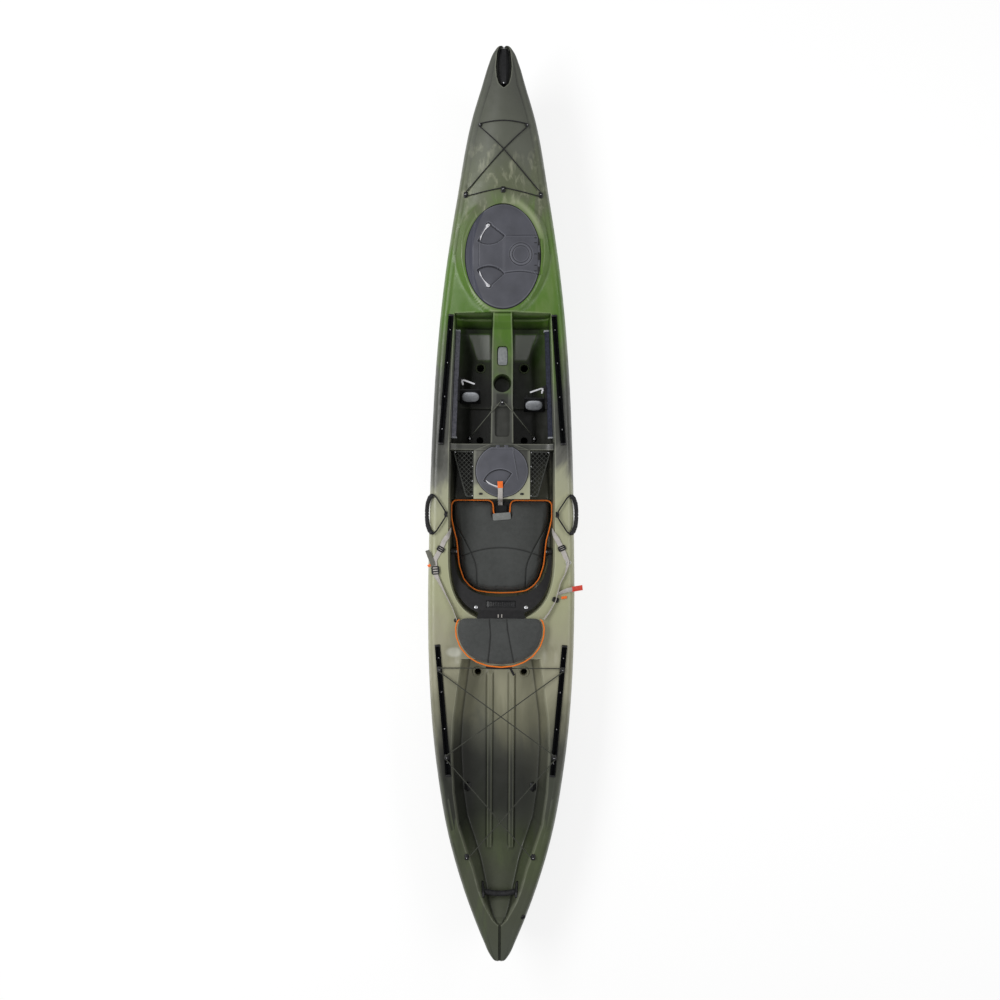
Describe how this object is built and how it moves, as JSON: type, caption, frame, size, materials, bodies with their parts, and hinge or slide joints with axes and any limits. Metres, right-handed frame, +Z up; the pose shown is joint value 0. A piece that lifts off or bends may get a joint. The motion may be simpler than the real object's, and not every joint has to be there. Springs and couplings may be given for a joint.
{
  "type": "fishing kayak",
  "caption": "Sit-on-top fishing kayak with hinged hatches, folding seat, sliding foot braces, gear rails, carry handles and deck bungees.",
  "frame": {"origin": "on the floor under the middle of the boat", "axes": "+Y to the bow, +X to starboard, +Z up"},
  "size_m": [0.7296, 4.27, 0.3963],
  "materials": {
    "hull_polyethylene": "rotomoulded, camouflage colours",
    "lid_polymer": "moulded, satin",
    "black_nylon": "moulded, satin",
    "grey_nylon": "moulded, satin",
    "seal_rubber": "matt",
    "rail_aluminium": "black anodised",
    "foot_rail_aluminium": "grey anodised",
    "stainless_steel": "polished",
    "seat_fabric": "woven over foam",
    "seat_shell": "moulded, matt",
    "webbing": "woven webbing",
    "pocket_mesh": "elastic net",
    "bungee_cord": "braided cord"
  },
  "bodies": {
    "boat": {"hull": "hull_polyethylene", "bow_hatch_gasket": "seal_rubber", "mid_hatch_gasket": "seal_rubber", "bow_hatch_hinge": "stainless_steel", "mid_hatch_hinge": "stainless_steel", "bow_handle": "black_nylon", "stern_handle": "black_nylon", "seat_pan": "seat_shell", "seat_cushion": "seat_fabric", "bow_bungee": "bungee_cord", "footwell_bungee": "bungee_cord", "rear_bungee": "bungee_cord", "footwell_hook_console": "black_nylon", "bow_hook_centre": "black_nylon", "front_strap": "webbing", "front_buckle": "black_nylon", "strap_buckle_left": "black_nylon", "gear_rail_front_left": "rail_aluminium", "gear_rail_rear_left": "rail_aluminium", "foot_rail_left": "foot_rail_aluminium", "pocket_net_left": "pocket_mesh", "seat_pivot_pin_left": "stainless_steel", "side_eye_left": "black_nylon", "bow_hook_front_left": "black_nylon", "bow_hook_rear_left": "black_nylon", "footwell_eye_left": "black_nylon", "rear_hook_stern_left": "black_nylon", "rear_hook_aft_left": "black_nylon", "rear_hook_forward_left": "black_nylon", "seat_strap_left": "webbing", "gear_rail_front_right": "rail_aluminium", "gear_rail_rear_right": "rail_aluminium", "foot_rail_right": "foot_rail_aluminium", "pocket_net_right": "pocket_mesh", "seat_pivot_pin_right": "stainless_steel", "side_eye_right": "black_nylon", "bow_hook_front_right": "black_nylon", "bow_hook_rear_right": "black_nylon", "footwell_eye_right": "black_nylon", "rear_hook_stern_right": "black_nylon", "rear_hook_aft_right": "black_nylon", "rear_hook_forward_right": "black_nylon", "seat_strap_right": "webbing"},
    "bow_lid": {"bow_hatch_lid": "lid_polymer"},
    "forward_latch": {"bow_latch_forward": "grey_nylon"},
    "aft_latch": {"bow_latch_aft": "grey_nylon"},
    "mid_lid": {"mid_hatch_lid": "lid_polymer"},
    "mid_lid_latch": {"mid_latch": "grey_nylon"},
    "seat_back": {"seat_back_frame": "seat_shell", "seat_back_pad": "seat_fabric"},
    "pedal_left": {"foot_pedal_left": "black_nylon", "pedal_pad_left": "grey_nylon"},
    "pedal_right": {"foot_pedal_right": "black_nylon", "pedal_pad_right": "grey_nylon"},
    "trigger_left": {"foot_trigger_left": "grey_nylon"},
    "trigger_right": {"foot_trigger_right": "grey_nylon"},
    "handle_left": {"side_grip_left": "black_nylon", "side_cord_left": "bungee_cord"},
    "handle_right": {"side_grip_right": "black_nylon", "side_cord_right": "bungee_cord"}
  },
  "joints": [
    {"name": "bow_lid_hinge", "type": "hinge", "parent": "boat", "child": "bow_lid", "pos_m": [0.1665, 1.164, 0.3631], "axis": [0, 1, 0], "range_deg": [0, 105]},
    {"name": "forward_latch_turn", "type": "hinge", "parent": "bow_lid", "child": "forward_latch", "pos_m": [-0.0665, 1.3045, 0.36], "axis": [0, 0, 1], "range_deg": [0, 81.5]},
    {"name": "aft_latch_turn", "type": "hinge", "parent": "bow_lid", "child": "aft_latch", "pos_m": [-0.0652, 1.0283, 0.36], "axis": [0, 0, -1], "range_deg": [0, 81.4]},
    {"name": "mid_lid_hinge", "type": "hinge", "parent": "boat", "child": "mid_lid", "pos_m": [0, 0.2925, 0.2501], "axis": [-1, 0, 0], "range_deg": [0, 100], "deforming": ["front_strap"]},
    {"name": "mid_latch_turn", "type": "hinge", "parent": "mid_lid", "child": "mid_lid_latch", "pos_m": [-0.008, 0.097, 0.25], "axis": [0, 0, -1], "range_deg": [0, 100]},
    {"name": "seat_back_hinge", "type": "hinge", "parent": "boat", "child": "seat_back", "pos_m": [0, -0.2145, 0.185], "axis": [-1, 0, 0], "range_deg": [0, 85]},
    {"name": "foot_slide_left", "type": "slide", "parent": "boat", "child": "pedal_left", "axis": [0.0382, 0.9993, 0], "range_m": [-0.08, 0.21]},
    {"name": "foot_slide_right", "type": "slide", "parent": "boat", "child": "pedal_right", "axis": [-0.0382, 0.9993, 0], "range_m": [-0.04, 0.25]},
    {"name": "foot_trigger_left_turn", "type": "hinge", "parent": "pedal_left", "child": "trigger_left", "pos_m": [-0.19791, 0.60565, 0.2276], "axis": [0, 0, -1], "range_deg": [0, 18], "stiffness_Nm_per_rad": 0.25, "springref_deg": -11.46},
    {"name": "foot_trigger_right_turn", "type": "hinge", "parent": "pedal_right", "child": "trigger_right", "pos_m": [0.1994, 0.56665, 0.2276], "axis": [0, 0, 1], "range_deg": [0, 18], "stiffness_Nm_per_rad": 0.25, "springref_deg": -11.46},
    {"name": "side_handle_left_swing", "type": "hinge", "parent": "boat", "child": "handle_left", "pos_m": [-0.26183, -0.03312, 0.31282], "axis": [0, 1, 0], "range_deg": [0, 90]},
    {"name": "side_handle_right_swing", "type": "hinge", "parent": "boat", "child": "handle_right", "pos_m": [0.26183, -0.03312, 0.31282], "axis": [0, -1, 0], "range_deg": [0, 90]}
  ]
}
